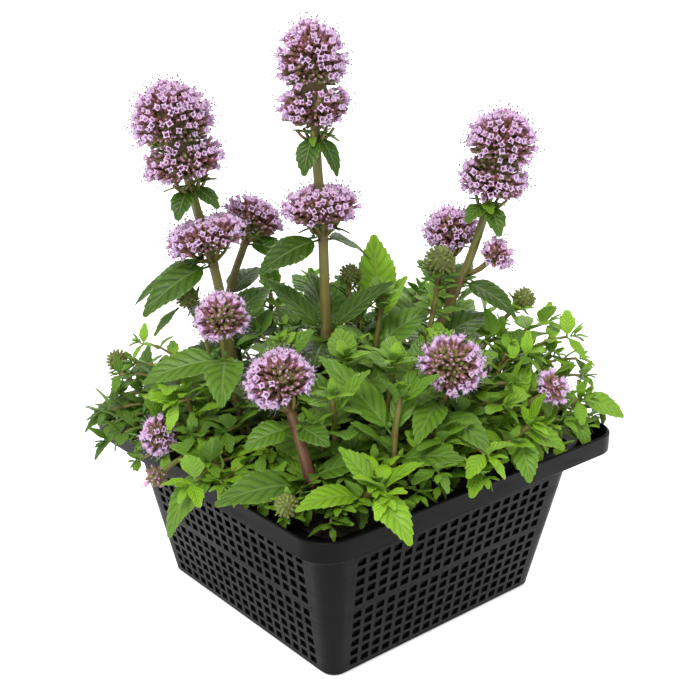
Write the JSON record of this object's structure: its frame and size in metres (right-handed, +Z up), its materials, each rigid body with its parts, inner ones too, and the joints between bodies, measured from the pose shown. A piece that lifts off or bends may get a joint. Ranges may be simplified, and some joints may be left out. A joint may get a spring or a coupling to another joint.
{
  "type": "potted mint plant",
  "caption": "Flowering mint with lilac flower heads on square stems over a leafy mound, rooted in soil in a square mesh basket.",
  "frame": {"origin": "centre of the basket's flat underside, on the surface that it stands on", "axes": "+Z up; X and Y along the basket's square sides; the front corner, with the hanging shoots, is the one at +X -Y"},
  "size_m": [0.2054, 0.2157, 0.2821],
  "materials": {
    "basket_plastic": "satin charcoal black",
    "soil": "dark moist compost",
    "foliage": "green leaves and stems, slightly glossy",
    "lilac_flowers": "soft lilac pink florets",
    "faded_flowers": "brown fading florets"
  },
  "bodies": {
    "root": {"basket": "basket_plastic", "head_centre_tall": "lilac_flowers", "head_front_centre": "lilac_flowers", "head_front_left": "lilac_flowers", "head_front_right": "lilac_flowers", "head_left_fading": "faded_flowers", "head_left_low": "lilac_flowers", "head_left_short": "lilac_flowers", "head_left_tall": "lilac_flowers", "head_right_low": "lilac_flowers", "head_right_short": "lilac_flowers", "head_right_side": "lilac_flowers", "head_right_tall": "lilac_flowers", "shoot_back_bright": "foliage", "shoot_back_middle": "foliage", "shoot_centre_budding": "foliage", "shoot_fill_01": "foliage", "shoot_fill_02": "foliage", "shoot_fill_03": "foliage", "shoot_fill_04": "foliage", "shoot_fill_05": "foliage", "shoot_fill_06": "foliage", "shoot_fill_07": "foliage", "shoot_fill_08": "foliage", "shoot_fill_09": "foliage", "shoot_fill_10": "foliage", "shoot_fill_11": "foliage", "shoot_fill_12": "foliage", "shoot_fill_13": "foliage", "shoot_front_corner": "foliage", "shoot_front_edge": "foliage", "shoot_front_middle": "foliage", "shoot_left_bright": "foliage", "shoot_left_corner": "foliage", "shoot_left_hanging": "foliage", "shoot_left_low": "foliage", "shoot_right_budding": "foliage", "shoot_right_corner": "foliage", "shoot_right_flowering": "foliage", "shoot_right_hanging": "foliage", "soil": "soil", "stem_budding": "foliage", "stem_centre_tall": "foliage", "stem_front_centre": "foliage", "stem_front_left": "foliage", "stem_front_right": "foliage", "stem_left_short": "foliage", "stem_left_tall": "foliage", "stem_right_short": "foliage", "stem_right_tall": "foliage", "whorl_centre": "lilac_flowers", "whorl_left": "lilac_flowers"}
  },
  "joints": []
}
